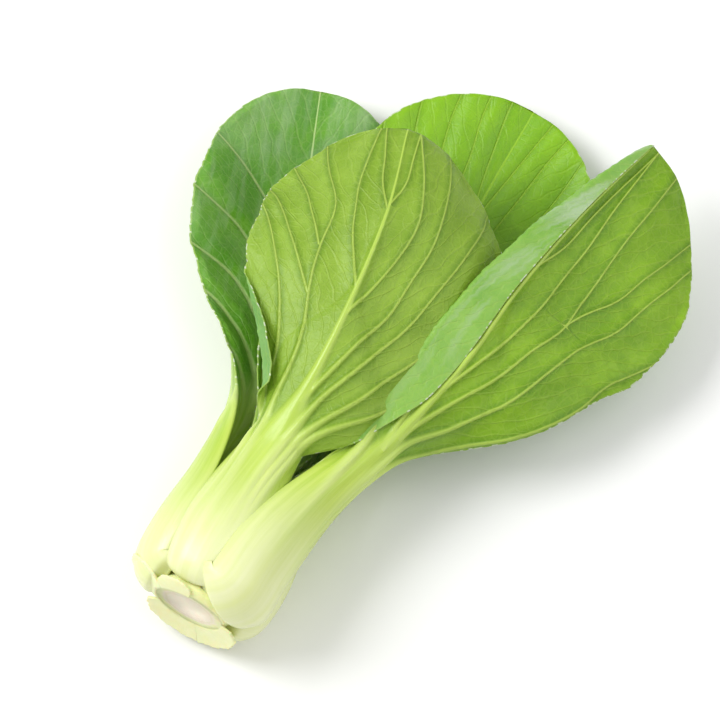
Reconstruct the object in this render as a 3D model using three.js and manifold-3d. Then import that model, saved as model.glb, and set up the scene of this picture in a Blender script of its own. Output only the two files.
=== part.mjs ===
// A head of bok choy lying on its side: nine spoon-shaped leaves on a short cut stem.
// Millimetres and degrees. The head's axis runs along +Y from the cut, and +Z is up.
import * as THREE from 'three';
import { mergeVertices } from 'three/addons/utils/BufferGeometryUtils.js';
import Module from 'manifold-3d';

// Driving dimensions of the head.
const BULB_RADIUS = 25.5;
const GAP = 0.35;
const MARGIN_THICKNESS = 1.1;
const TIP_HALF_WIDTH = 1.4;
const FOLD_SPAN = 5;

// The cut stem: a short cone that every leaf stalk grows from.
const STEM_RADIUS = 12.6;
const STEM_LENGTH = 27;

// Whorls from the outside in: how thick the stalks are and how far up the stem they grow from.
const WHORLS = {
  outer: { thickness: 7.2, rise: 0, stations: 26, across: 12 },
  second: { thickness: 6.2, rise: 3, stations: 26, across: 12 },
  inner: { thickness: 4.2, rise: 6, stations: 18, across: 8 },
  heart: { thickness: 3.2, rise: 9, stations: 14, across: 6 },
};

// turn is the stalk's place round the axis, from straight up towards +X. bulge is how far out it
// swells, and sheath how much of its width it keeps where it wraps the stem. rib is the line of the
// midrib beyond the bulb. face is the way the blade's inner side looks, which it does from settle on.
// minus and plus are the blade's two sides: half is its width, cup how far it curls inwards, wide
// where it reaches its full width, early how suddenly it starts to widen (1 is gently), taper how
// much it narrows upwards, and cap where the rounded tip begins. fold turns a margin of up to hem
// times that width back over the outer side: full width from grown to fading, none before from or
// after to.
const LEAVES = [
  {
    name: 'right_leaf', whorl: 'outer', turn: 54, bulge: 23.2, stalk: 17.5, neck: 8.5, neckAt: 0.36,
    sheath: 1.12, settle: 0.58,
    rib: [[22.2, 51, 36], [31, 80, 36], [41, 116, 40], [45, 150, 43], [51, 187, 39], [58.5, 222, 31]],
    face: [-0.27, 0.05, -0.96],
    minus: { half: 16, cup: 5, wide: 0.56, early: 0.55, taper: 0.6, cap: 0.8 },
    plus: { half: 53, cup: 16, wide: 0.72, early: 0.85, taper: 0, cap: 0.77 },
    fold: { side: -1, hem: 0.95, turn: 180, from: 0.26, grown: 0.48, fading: 1.2, to: 1.4 },
  },
  {
    name: 'left_leaf', whorl: 'outer', turn: -89.5, bulge: 21.2, stalk: 18.5, neck: 9, neckAt: 0.4,
    sheath: 0.9, settle: 0.56,
    rib: [[-19, 50, 26], [-20.5, 78, 19], [-29, 115, 12], [-40, 152, 9], [-55, 191, 10]],
    face: [0.22, 0, 0.97],
    minus: { half: 36, cup: 6, wide: 0.74, early: 1, taper: 0, cap: 0.8 },
    plus: { half: 41, cup: 22, wide: 0.76, early: 0.75, taper: 0, cap: 0.76 },
  },
  {
    name: 'lower_right_leaf', whorl: 'outer', turn: 134, bulge: 22.6, stalk: 20, neck: 9.5, neckAt: 0.42,
    sheath: 0.9, settle: 0.64,
    rib: [[14, 52, 13], [19, 82, 8], [17, 135, 6], [13, 180, 7], [13, 220, 10]],
    face: [0, 0, 1],
    minus: { half: 42, cup: 12, wide: 0.78, early: 1, taper: 0, cap: 0.8 },
    plus: { half: 46, cup: 14, wide: 0.8, early: 1, taper: 0, cap: 0.8 },
  },
  {
    name: 'upper_leaf', whorl: 'second', turn: -9, bulge: 18.6, stalk: 18.5, neck: 10.5, neckAt: 0.36,
    sheath: 0.8, settle: 0.6,
    rib: [[-1.5, 50, 43.5], [1, 77, 47], [0, 110, 54], [-5, 148, 56], [-15, 181, 48]],
    face: [0.02, 0.05, -1],
    minus: { half: 45, cup: 28, wide: 0.7, early: 0.9, taper: 0, cap: 0.8 },
    plus: { half: 50, cup: 56, wide: 0.68, early: 0.5, taper: 0, cap: 0.68 },
    fold: { side: -1, hem: 0.42, turn: 160, from: 0.32, grown: 0.42, fading: 0.42, to: 0.66 },
  },
  {
    name: 'lower_left_leaf', whorl: 'second', turn: -142, bulge: 17.6, stalk: 17.5, neck: 8, neckAt: 0.42,
    sheath: 0.75, settle: 0.64,
    rib: [[-9, 50, 14], [-9, 75, 14], [-9, 105, 17], [-10, 135, 19], [-13, 163, 19]],
    face: [0.1, 0, 1],
    minus: { half: 23, cup: 22, wide: 0.74, early: 1, taper: 0, cap: 0.7 },
    plus: { half: 23, cup: 22, wide: 0.74, early: 1, taper: 0, cap: 0.7 },
  },
  {
    name: 'inner_right_leaf', whorl: 'inner', turn: 80.5, bulge: 11.6, stalk: 14, neck: 7, neckAt: 0.4,
    sheath: 0.75, settle: 0.62,
    rib: [[11, 50, 27], [15, 72, 27], [20, 98, 27], [24, 124, 27], [29, 148, 26]],
    face: [-0.5, 0, 0.87],
    minus: { half: 20, cup: 26, wide: 0.7, early: 1, taper: 0, cap: 0.7 },
    plus: { half: 20, cup: 26, wide: 0.7, early: 1, taper: 0, cap: 0.7 },
  },
  {
    name: 'inner_left_leaf', whorl: 'inner', turn: -57, bulge: 11.4, stalk: 13, neck: 6.5, neckAt: 0.4,
    sheath: 0.75, settle: 0.62,
    rib: [[-8, 48, 31], [-8, 68, 32], [-9, 94, 33], [-11, 118, 33], [-14, 140, 32]],
    face: [0.45, 0, 0.9],
    minus: { half: 18, cup: 26, wide: 0.7, early: 1, taper: 0, cap: 0.7 },
    plus: { half: 18, cup: 26, wide: 0.7, early: 1, taper: 0, cap: 0.7 },
  },
  {
    name: 'inner_lower_leaf', whorl: 'inner', turn: 165.5, bulge: 10.6, stalk: 11.5, neck: 6, neckAt: 0.4,
    sheath: 0.75, settle: 0.62,
    rib: [[2, 46, 17.5], [2, 66, 19], [2, 90, 23], [2, 110, 25.5], [2, 128, 26.5]],
    face: [0, 0, 1],
    minus: { half: 13, cup: 30, wide: 0.7, early: 1, taper: 0, cap: 0.7 },
    plus: { half: 13, cup: 30, wide: 0.7, early: 1, taper: 0, cap: 0.7 },
  },
  {
    name: 'heart_leaf', whorl: 'heart', turn: 28, bulge: 5.2, stalk: 8, neck: 5, neckAt: 0.4,
    sheath: 0.75, settle: 0.62,
    rib: [[2.5, 44, 31], [3, 60, 33], [3.5, 80, 35], [3.5, 98, 36], [3, 112, 36]],
    face: [0, 0, -1],
    minus: { half: 11, cup: 34, wide: 0.7, early: 1, taper: 0, cap: 0.7 },
    plus: { half: 11, cup: 34, wide: 0.7, early: 1, taper: 0, cap: 0.7 },
  },
];

// Bases of leaves that were trimmed off, left as a ragged collar round the cut. reach and flare are
// how far each goes up the head, or past the cut if it is negative, and out from the stem. A base is
// widest at the turn given as widest, and thins out over as many degrees as fade gives.
const STUBS = [
  { name: 'trimmed_base_left', turn: -86, span: 62, reach: 6.5, flare: 12.4, widest: -86, fade: 31 },
  { name: 'trimmed_base_upper', turn: -25, span: 54, reach: 1.8, flare: 5, widest: -25, fade: 27 },
  { name: 'trimmed_base_under_left', turn: -154, span: 76, reach: -2.2, flare: 8.8, widest: -192, fade: 78 },
  { name: 'trimmed_base_under_right', turn: 128, span: 74, reach: -2.2, flare: 8.8, widest: 168, fade: 78 },
];

const SECTION_STEPS = 48;

const MATERIALS = {
  leaf: { color: 0x86b84a, roughness: 0.5, metalness: 0 },
  stem: { color: 0xf0ecd6, roughness: 0.6, metalness: 0 },
  stub: { color: 0xe9ecb4, roughness: 0.6, metalness: 0 },
};

const wasm = await Module();
wasm.setup();

// Smooth step from 0 at a to 1 at b.
const rise = (a, b, x) => THREE.MathUtils.smoothstep(x, a, b);

// The direction out from the axis at an angle from straight up.
function outward(turn) {
  const a = THREE.MathUtils.degToRad(turn);
  return new THREE.Vector3(Math.sin(a), 0, Math.cos(a));
}

// A point at a distance along the axis and a radius from it.
function around(turn, y, radius) {
  return outward(turn).multiplyScalar(radius).add(new THREE.Vector3(0, y, BULB_RADIUS));
}

// The midrib: out of the stem, round the swollen foot, in at the waist and along the blade.
function midrib(leaf) {
  const base = WHORLS[leaf.whorl].rise;
  const points = [
    around(leaf.turn, 2.4 + base, Math.min(11.5, leaf.bulge * 0.72)),
    around(leaf.turn, 7.5 + base, leaf.bulge * 0.94),
    around(leaf.turn, 24 + base, leaf.bulge),
    ...leaf.rib.map((p) => new THREE.Vector3(...p)),
  ];
  return new THREE.CatmullRomCurve3(points, false, 'catmullrom', 0.5);
}

// How far a side's margin is turned back at v, from 0 for flat to 1 for folded right over.
function turnedBack(leaf, side, v) {
  const f = leaf.fold;
  if (!f || f.side !== side) return 0;
  return rise(f.from, f.from + 0.1, v) * (1 - rise(f.to - 0.08, f.to, v));
}

// What a side's folded margin adds to its width at v, as a share. It tapers to nothing at both ends.
function hem(leaf, side, v) {
  const f = leaf.fold;
  if (!f || f.side !== side) return 0;
  return f.hem * rise(f.from, f.grown, v) * (1 - rise(f.fading, f.to - 0.02, v));
}

// Half the leaf's width on one side at a share v of its length, with what is folded back.
function halfWidth(leaf, side, v) {
  const blade = side < 0 ? leaf.minus : leaf.plus;
  const foot = THREE.MathUtils.lerp(leaf.sheath, 1, rise(0, 0.12, v)) * leaf.stalk;
  const stalk = THREE.MathUtils.lerp(foot, leaf.neck, rise(0.1, leaf.neckAt, v));
  const widened = rise(leaf.neckAt - 0.03, blade.wide, v) ** blade.early;
  const flare = THREE.MathUtils.lerp(stalk, blade.half, widened);
  const tapered = flare * (1 - blade.taper * rise(0.55, 0.95, v));
  const past = Math.max(0, (v - blade.cap) / (1 - blade.cap));
  const shown = Math.max(TIP_HALF_WIDTH, tapered * Math.sqrt(Math.max(0, 1 - past ** 2.1)));
  return shown * (1 + hem(leaf, side, v));
}

// How far from the midrib a side folds over, or its margin if it doesn't.
const foldLine = (leaf, side, v, half) => half / (1 + hem(leaf, side, v));

// How far the section has turned inwards at a distance q from the midrib, in radians.
function turned(leaf, side, v, q, half) {
  const { cup } = side < 0 ? leaf.minus : leaf.plus;
  const foot = THREE.MathUtils.lerp(48, 42, rise(0.1, leaf.neckAt, v));
  const total = THREE.MathUtils.lerp(foot, cup, rise(leaf.neckAt - 0.04, leaf.neckAt + 0.2, v));
  let angle = total * (q / half);
  const open = turnedBack(leaf, side, v);
  if (open > 0) {
    const line = foldLine(leaf, side, v, half);
    angle -= leaf.fold.turn * open * rise(line - FOLD_SPAN / 2, line + FOLD_SPAN / 2, q);
  }
  return THREE.MathUtils.degToRad(angle);
}

// One side of a cross-section, walked out from the midrib: [x, y, angle] at each node.
function halfSection(leaf, side, v, nodes, spare) {
  const half = halfWidth(leaf, side, v) + spare;
  const step = half / SECTION_STEPS;
  const walked = [[0, 0, turned(leaf, side, v, 0, half)]];
  let x = 0;
  let y = 0;
  for (let i = 1; i <= SECTION_STEPS; i++) {
    const middle = turned(leaf, side, v, (i - 0.5) * step, half);
    x += Math.cos(middle) * step;
    y += Math.sin(middle) * step;
    walked.push([x, y, turned(leaf, side, v, i * step, half)]);
  }
  const every = SECTION_STEPS / nodes;
  return Array.from({ length: nodes + 1 }, (_, i) => walked[Math.round(i * every)]);
}

// Thickness of the leaf: a fleshy stalk that thins into the midrib, and a thin blade.
function thickness(leaf, v, q, half) {
  const stalk = WHORLS[leaf.whorl].thickness;
  const middle = THREE.MathUtils.lerp(stalk, 1.4, rise(0.12, 0.94, v) ** 0.8);
  const fleshy = THREE.MathUtils.lerp(half, 2, rise(leaf.neckAt, leaf.neckAt + 0.3, v));
  const share = Math.min(1, Math.abs(q) / fleshy);
  return MARGIN_THICKNESS + (middle - MARGIN_THICKNESS) * (1 - share * share) ** 0.8;
}

// Closes two facing grids of points, outer and inner, into one solid shell.
function shell(outer, inner) {
  const rows = outer.length;
  const columns = outer[0].length;
  const positions = [...outer.flat(), ...inner.flat()].flatMap((p) => [p.x, p.y, p.z]);
  const index = [];
  const at = (face, r, c) => face * rows * columns + r * columns + c;
  const quad = (a, b, c, d) => index.push(a, c, b, a, d, c);
  for (let r = 0; r < rows - 1; r++) {
    for (let c = 0; c < columns - 1; c++) {
      quad(at(0, r, c), at(0, r + 1, c), at(0, r + 1, c + 1), at(0, r, c + 1));
      quad(at(1, r, c), at(1, r, c + 1), at(1, r + 1, c + 1), at(1, r + 1, c));
    }
    quad(at(0, r, 0), at(1, r, 0), at(1, r + 1, 0), at(0, r + 1, 0));
    const last = columns - 1;
    quad(at(0, r, last), at(0, r + 1, last), at(1, r + 1, last), at(1, r, last));
  }
  for (let c = 0; c < columns - 1; c++) {
    quad(at(0, 0, c), at(0, 0, c + 1), at(1, 0, c + 1), at(1, 0, c));
    const end = rows - 1;
    quad(at(0, end, c), at(1, end, c), at(1, end, c + 1), at(0, end, c + 1));
  }
  const geometry = new THREE.BufferGeometry();
  geometry.setAttribute('position', new THREE.Float32BufferAttribute(positions, 3));
  geometry.setIndex(index);
  return geometry;
}

// A whole leaf, stalk and blade in one. spare grows it all round.
function leafGeometry(leaf, spare = 0) {
  const curve = midrib(leaf);
  const inwards = outward(leaf.turn).negate();
  const bladeFace = new THREE.Vector3(...leaf.face).normalize();
  const outer = [];
  const inner = [];
  const { stations, across: columns } = WHORLS[leaf.whorl];
  for (let j = 0; j <= stations; j++) {
    const t = j / stations;
    const v = t - 0.6 * Math.sin(2 * Math.PI * t) / (2 * Math.PI);
    const centre = curve.getPointAt(v);
    const along = curve.getTangentAt(v);
    const guide = inwards.clone().lerp(bladeFace, rise(0.2, leaf.settle, v));
    const normal = guide.addScaledVector(along, -guide.dot(along)).normalize();
    const across = new THREE.Vector3().crossVectors(normal, along);
    const outerRow = [];
    const innerRow = [];
    for (const side of [-1, 1]) {
      const nodes = halfSection(leaf, side, v, columns / 2, spare);
      const half = halfWidth(leaf, side, v);
      const list = side < 0 ? nodes.slice(1).reverse() : nodes;
      list.forEach(([x, y, angle], i) => {
        const step = side < 0 ? columns / 2 - i : i;
        const q = half * step / (columns / 2);
        const h = thickness(leaf, v, q, foldLine(leaf, side, v, half)) + 2 * spare;
        const point = centre.clone().addScaledVector(across, side * x).addScaledVector(normal, y);
        const out = across.clone().multiplyScalar(side * Math.sin(angle));
        out.addScaledVector(normal, -Math.cos(angle));
        outerRow.push(point.clone().addScaledVector(out, h * 0.7));
        innerRow.push(point.clone().addScaledVector(out, -h * 0.3));
      });
    }
    outer.push(outerRow);
    inner.push(innerRow);
  }
  return shell(outer, inner);
}

// The cut stem, turned about the head's axis. spare grows it all round.
function stemGeometry(spare = 0) {
  const profile = [
    [0, -spare],
    [STEM_RADIUS + spare, -spare],
    [STEM_RADIUS + 0.8 + spare, 3],
    [STEM_RADIUS * 0.72 + spare, 10],
    [STEM_RADIUS * 0.42 + spare, 18],
    [STEM_RADIUS * 0.18 + spare, STEM_LENGTH],
    [0, STEM_LENGTH + 0.8 + spare],
  ].map(([r, y]) => new THREE.Vector2(r, y));
  const turned = new THREE.LatheGeometry(profile, 28);
  return turned.translate(0, 0, BULB_RADIUS);
}

// A trimmed leaf base: a curved flange with a ragged free edge.
function stubGeometry(stub) {
  const outer = [];
  const inner = [];
  const steps = 10;
  const slope = Math.hypot(stub.reach, stub.flare);
  for (let j = 0; j <= 3; j++) {
    const along = j / 3;
    const outerRow = [];
    const innerRow = [];
    for (let i = 0; i <= steps; i++) {
      const across = i / steps - 0.5;
      const turn = stub.turn + stub.span * across;
      const thinned = ((turn - stub.widest) / stub.fade) ** 2;
      const ragged = Math.sqrt(1 - 0.88 * thinned) + 0.04 * Math.sin(9 * i) * along;
      const y = 0.6 + stub.reach * along * ragged;
      const radius = 14.2 + stub.flare * Math.sin(along * ragged * 1.1);
      const wall = THREE.MathUtils.lerp(3, 1.2, along) / 2;
      outerRow.push(around(turn, y - wall * stub.flare / slope, radius + wall * stub.reach / slope));
      innerRow.push(around(turn, y + wall * stub.flare / slope, radius - wall * stub.reach / slope));
    }
    outer.push(outerRow);
    inner.push(innerRow);
  }
  return shell(outer, inner);
}

// A closed geometry as a solid that can be cut.
function toSolid(geometry) {
  const bare = new THREE.BufferGeometry();
  bare.setAttribute('position', geometry.getAttribute('position'));
  if (geometry.index) bare.setIndex(geometry.index);
  const merged = mergeVertices(bare, 1e-3);
  const vertProperties = new Float32Array(merged.attributes.position.array);
  const triVerts = new Uint32Array(merged.index.array);
  return new wasm.Manifold(new wasm.Mesh({ numProp: 3, vertProperties, triVerts }));
}

function toGeometry(solid) {
  const mesh = solid.getMesh();
  const geometry = new THREE.BufferGeometry();
  geometry.setAttribute('position', new THREE.BufferAttribute(mesh.vertProperties, 3));
  geometry.setIndex(new THREE.BufferAttribute(mesh.triVerts, 1));
  geometry.computeVertexNormals();
  return geometry;
}

// Cuts a solid clear of its neighbours and keeps its largest piece.
function clearOf(solid, neighbours) {
  let cut = solid;
  for (const other of neighbours) {
    if (cut.intersect(other).volume() > 1e-3) cut = cut.subtract(other);
  }
  return cut.simplify(0.02).decompose().sort((a, b) => b.volume() - a.volume())[0];
}

function addPiece(group, name, solid, look) {
  const mesh = new THREE.Mesh(toGeometry(solid), new THREE.MeshStandardMaterial(MATERIALS[look]));
  mesh.name = name;
  group.add(mesh);
}

const head = new THREE.Group();
addPiece(head, 'cut_stem', toSolid(stemGeometry()), 'stem');
const kept = [toSolid(stemGeometry(GAP))];
for (const leaf of LEAVES) {
  const whole = toSolid(leafGeometry(leaf));
  addPiece(head, leaf.name, clearOf(whole, kept), 'leaf');
  kept.push(toSolid(leafGeometry(leaf, GAP)).add(whole));
}
for (const stub of STUBS) {
  addPiece(head, stub.name, clearOf(toSolid(stubGeometry(stub)), kept), 'stub');
}

// The origin is under the middle of the head, on the surface that it lies on.
const box = new THREE.Box3().setFromObject(head);
const middle = box.getCenter(new THREE.Vector3());
head.position.set(-middle.x, -middle.y, -box.min.z);

export default head;
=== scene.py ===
import math

import bmesh
import bpy
import numpy as np
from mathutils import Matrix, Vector


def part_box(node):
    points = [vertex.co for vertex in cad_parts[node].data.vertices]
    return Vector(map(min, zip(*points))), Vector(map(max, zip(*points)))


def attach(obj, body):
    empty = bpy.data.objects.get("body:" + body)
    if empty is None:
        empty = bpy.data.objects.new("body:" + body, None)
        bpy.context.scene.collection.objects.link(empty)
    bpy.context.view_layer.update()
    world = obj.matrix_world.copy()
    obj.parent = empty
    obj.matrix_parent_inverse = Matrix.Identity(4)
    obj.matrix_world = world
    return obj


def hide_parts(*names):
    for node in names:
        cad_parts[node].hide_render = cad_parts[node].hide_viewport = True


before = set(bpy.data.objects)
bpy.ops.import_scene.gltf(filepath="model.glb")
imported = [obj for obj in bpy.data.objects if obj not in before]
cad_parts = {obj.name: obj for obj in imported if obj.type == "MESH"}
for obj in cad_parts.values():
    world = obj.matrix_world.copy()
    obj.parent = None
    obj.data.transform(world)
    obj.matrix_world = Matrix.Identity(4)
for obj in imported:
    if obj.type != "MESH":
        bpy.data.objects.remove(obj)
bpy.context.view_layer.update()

# The cut stem: the short solid stem that all the stalks grow from, sliced straight across.
# Its face is moist white pith with a faint pink cast, inside a yellow-green ring of rind.
stem_low, stem_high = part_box("cut_stem")
CUT = Vector(((stem_low.x + stem_high.x) / 2, stem_low.y, (stem_low.z + stem_high.z) / 2))
AXIS_HEIGHT = 0.0255
STEM_RADIUS = 0.0126


def paint(red, green, blue):
    """A colour as a paint chart gives it, 0 to 255, made linear."""
    return [((c / 255 + 0.055) / 1.055) ** 2.4 if c > 10 else c / 3294.6 for c in (red, green, blue)] + [1]


class Finish:
    """A finish being mixed: a material and the arithmetic that shades it."""

    def __init__(self, name):
        self.material = bpy.data.materials.new(name)
        self.material.use_nodes = True
        self.nodes = self.material.node_tree.nodes
        self.links = self.material.node_tree.links
        self.skin = self.nodes["Principled BSDF"]

    def feed(self, socket, value):
        if isinstance(value, bpy.types.NodeSocket):
            self.links.new(value, socket)
        else:
            socket.default_value = value

    def sum(self, operation, *values):
        node = self.nodes.new("ShaderNodeMath")
        node.operation = operation
        for socket, value in zip(node.inputs, values):
            self.feed(socket, value)
        return node.outputs[0]

    def ramp(self, value, low, high, start=0.0, end=1.0):
        node = self.nodes.new("ShaderNodeMapRange")
        node.interpolation_type = "SMOOTHSTEP"
        for socket, given in zip(node.inputs, (value, low, high, start, end)):
            self.feed(socket, given)
        return node.outputs[0]

    def blend(self, share, first, second, kind="MIX"):
        node = self.nodes.new("ShaderNodeMix")
        node.data_type = "RGBA"
        node.blend_type = kind
        self.feed(node.inputs[0], share)
        self.feed(node.inputs[6], first)
        self.feed(node.inputs[7], second)
        return node.outputs[2]

    def point(self, x, y, z=0.0):
        node = self.nodes.new("ShaderNodeCombineXYZ")
        for socket, value in zip(node.inputs, (x, y, z)):
            self.feed(socket, value)
        return node.outputs[0]

    def noise(self, where, scale, detail=2.0, rough=0.5):
        node = self.nodes.new("ShaderNodeTexNoise")
        self.feed(node.inputs["Vector"], where)
        node.inputs["Scale"].default_value = scale
        node.inputs["Detail"].default_value = detail
        node.inputs["Roughness"].default_value = rough
        return node.outputs["Fac"]

    def cells(self, where, scale):
        node = self.nodes.new("ShaderNodeTexVoronoi")
        node.feature = "DISTANCE_TO_EDGE"
        self.feed(node.inputs["Vector"], where)
        node.inputs["Scale"].default_value = scale
        return node.outputs["Distance"]

    def held(self, name):
        """A vector that the mesh holds at each point, as its three numbers."""
        node = self.nodes.new("ShaderNodeAttribute")
        node.attribute_name = name
        apart = self.nodes.new("ShaderNodeSeparateXYZ")
        self.links.new(node.outputs["Vector"], apart.inputs[0])
        return apart.outputs

    def fading(self, distance, length):
        """1 at no distance, and less by a factor e for each length."""
        return self.sum("POWER", 2.718, self.sum("DIVIDE", distance, -length))

    def bump(self, height, depth, strength=1.0):
        node = self.nodes.new("ShaderNodeBump")
        node.inputs["Strength"].default_value = strength
        node.inputs["Distance"].default_value = depth
        self.feed(node.inputs["Height"], height)
        self.links.new(node.outputs[0], self.skin.inputs["Normal"])


def place(name, mesh, finish, node):
    """Puts a finished mesh on the head in place of its solid."""
    piece = bpy.data.objects.new(name, mesh)
    bpy.context.scene.collection.objects.link(piece)
    mesh.materials.append(finish)
    mesh.polygons.foreach_set("use_smooth", [True] * len(mesh.polygons))
    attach(piece, "root")
    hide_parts(node)


def stem_finish():
    """Cut pith: rings round the stem's axis, from pale pith through a line of bundles to the rind."""
    pith = Finish("stem_pith")
    where = pith.nodes.new("ShaderNodeTexCoord").outputs["Object"]
    apart = pith.nodes.new("ShaderNodeSeparateXYZ")
    pith.links.new(where, apart.inputs[0])
    across = pith.sum("SUBTRACT", apart.outputs["X"], CUT.x)
    above = pith.sum("SUBTRACT", apart.outputs["Z"], CUT.z)
    radius = pith.sum("SQRT", pith.sum("ADD", pith.sum("MULTIPLY", across, across),
                                       pith.sum("MULTIPLY", above, above)))
    wander = pith.sum("MULTIPLY", pith.noise(where, 320, 3.0), 0.0022)
    radius = pith.sum("ADD", radius, wander)
    pale = pith.blend(pith.noise(where, 900, 4.0, 0.7), paint(250, 243, 220), paint(243, 226, 202))
    ring = pith.ramp(radius, STEM_RADIUS * 0.84, STEM_RADIUS)
    from_bundles = pith.sum("ABSOLUTE", pith.sum("SUBTRACT", radius, STEM_RADIUS * 0.8))
    bundle = pith.ramp(from_bundles, 0.0, 0.0009, 1, 0)
    face = pith.blend(pith.sum("MULTIPLY", bundle, 0.3), pale, paint(222, 218, 150))
    rind = pith.blend(pith.noise(where, 500, 3.0), paint(248, 247, 196), paint(238, 241, 160))
    pith.links.new(pith.blend(ring, face, rind), pith.skin.inputs["Base Color"])
    pith.skin.inputs["Roughness"].default_value = 0.42
    pith.skin.inputs["Subsurface Weight"].default_value = 0.25
    pith.skin.inputs["Subsurface Scale"].default_value = 0.004
    pith.bump(pith.noise(where, 1400, 5.0, 0.7), 0.0005, 0.6)
    return pith.material


def cut_stem():
    """The cut face, inset once, then drawn back ring by ring to the growing point.
    A ring is its radius as a share of the face's, and how far back it is."""
    rings = [(0.98, -0.0003), (1.05, 0.0004), (1.14, 0.0014), (1.16, 0.0032), (0.74, 0.010), (0.44, 0.018),
             (0.2, 0.026), (0.04, 0.0276)]
    stem = bmesh.new()
    bmesh.ops.create_circle(stem, cap_ends=True, segments=72, radius=STEM_RADIUS)
    bmesh.ops.inset_region(stem, faces=stem.faces[:], thickness=0.0022, use_even_offset=True)
    edges = [e for e in stem.edges if len(e.link_faces) == 1]
    grown = 1.0
    depth = 0.0
    for share, along in rings:
        made = bmesh.ops.extrude_edge_only(stem, edges=edges)
        ring = [v for v in made["geom"] if isinstance(v, bmesh.types.BMVert)]
        bmesh.ops.scale(stem, verts=ring, vec=(share / grown, share / grown, 1))
        bmesh.ops.translate(stem, verts=ring, vec=(0, 0, -(along - depth)))
        edges = [e for e in made["geom"] if isinstance(e, bmesh.types.BMEdge)]
        grown = share
        depth = along
    bmesh.ops.holes_fill(stem, edges=edges)
    bmesh.ops.recalc_face_normals(stem, faces=stem.faces[:])
    for v in stem.verts:
        turn = math.atan2(v.co.y, v.co.x)
        uneven = 1 + 0.025 * math.sin(2 * turn + 0.6) + 0.014 * math.sin(5 * turn)
        uneven += 0.008 * math.sin(13 * turn + 1)
        v.co = Vector((v.co.x * uneven, -v.co.z, v.co.y * uneven)) + CUT
    bmesh.ops.recalc_face_normals(stem, faces=stem.faces[:])
    mesh = bpy.data.meshes.new("stem")
    stem.to_mesh(mesh)
    stem.free()
    return mesh


place("stem", cut_stem(), stem_finish(), "cut_stem")


# The heart leaf: the youngest, small and cupped over the growing point in the middle.
# Like every leaf of the head it is one piece: a fleshy stalk that thins into a midrib,
# and a thin blade whose veins leave the midrib at a sharp angle and run up to the margin.

# Sizes of leaves are in millimetres and their angles in degrees.
MARGIN_THICKNESS = 0.5
TIP_HALF_WIDTH = 0.5
FOLD_SPAN = 5
FOOT_WRAP = 48
NECK_WRAP = 42
MOST_VEINS = 6
NO_VEIN = 99.0


def rise(low, high, x):
    """Smooth step from 0 at low to 1 at high."""
    t = np.clip((x - low) / (high - low), 0, 1)
    return t * t * (3 - 2 * t)


def mix(a, b, share):
    return a + (b - a) * share


def around(turn, y, radius):
    """A point round the head's axis, in millimetres from the cut."""
    a = math.radians(turn)
    return [math.sin(a) * radius, y, AXIS_HEIGHT * 1000 + math.cos(a) * radius]


def midrib(points, shares):
    """Points and directions at shares of the length of a smooth line through the given points."""
    p = np.array(points, float)
    p = np.vstack([2 * p[0] - p[1], p, 2 * p[-1] - p[-2]])
    t = np.linspace(0, 1, 80, endpoint=False)[:, None]
    fine = []
    for a, b, c, d in zip(p, p[1:], p[2:], p[3:]):
        m, n = (c - a) / 2, (d - b) / 2
        fine.append((2 * b - 2 * c + m + n) * t**3 + (3 * c - 3 * b - 2 * m - n) * t**2 + m * t + b)
    fine = np.vstack(fine + [p[-2:-1]])
    run = np.concatenate([[0], np.cumsum(np.linalg.norm(np.diff(fine, axis=0), axis=1))])

    def at(share):
        return np.stack([np.interp(share * run[-1], run, fine[:, k]) for k in range(3)], -1)

    ahead = at(np.clip(shares + 1e-3, 0, 1)) - at(np.clip(shares - 1e-3, 0, 1))
    return at(shares), ahead / np.linalg.norm(ahead, axis=1, keepdims=True), run[-1]


def vein_line(points, s):
    """How far a side vein is from the midrib at s: a smooth line through its few points, 0 before them."""
    at, away = np.array(points, float).T
    slope = np.gradient(away, at)
    k = np.clip(np.searchsorted(at, s) - 1, 0, len(at) - 2)
    span = at[k + 1] - at[k]
    t = np.clip((s - at[k]) / span, 0, 1)
    line = away[k] * (2 * t**3 - 3 * t**2 + 1) + away[k + 1] * (3 * t**2 - 2 * t**3)
    line = line + span * (slope[k] * (t**3 - 2 * t**2 + t) + slope[k + 1] * (t**3 - t**2))
    return np.where(s < at[0], 0, line + np.maximum(s - at[-1], 0) * slope[-1])


def among_veins(veins, s, q, spread=11.0):
    """Where each point lies among the side veins: how many veins in from the margin, the gap between
    the two veins there, and how far out from the inner one. The second result is the distance to
    each vein, the outermost first. Each vein is a few points (s, q): along the leaf, and out from its rib."""
    lines = [np.maximum(vein_line(points, s), 0) for points in veins]
    for k in range(len(lines) - 2, -1, -1):
        lines[k] = np.maximum(lines[k], lines[k + 1])
    count = -(q - lines[0]) / spread
    gap = np.full_like(q, spread)
    past = q - lines[0]
    for k, outer in enumerate(lines):
        inner = lines[k + 1] if k + 1 < len(lines) else np.zeros_like(outer)
        here = (q < outer) & (q >= inner)
        width = np.maximum(outer - inner, 1e-3)
        count = np.where(here, k + (outer - q) / width, count)
        gap = np.where(here, width, gap)
        past = np.where(here, q - inner, past)
    count = np.where(q < 0, len(lines) - q / spread, count)
    away = [np.full_like(q, NO_VEIN)] * MOST_VEINS
    for k, points in enumerate(veins):
        slope = vein_line(points, s + 0.5) - vein_line(points, s - 0.5)
        away[k] = np.where(s < points[0][0], NO_VEIN, (q - vein_line(points, s)) / np.sqrt(1 + slope**2))
    return np.stack([count, gap, past], -1), np.stack(away, -1)


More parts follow.
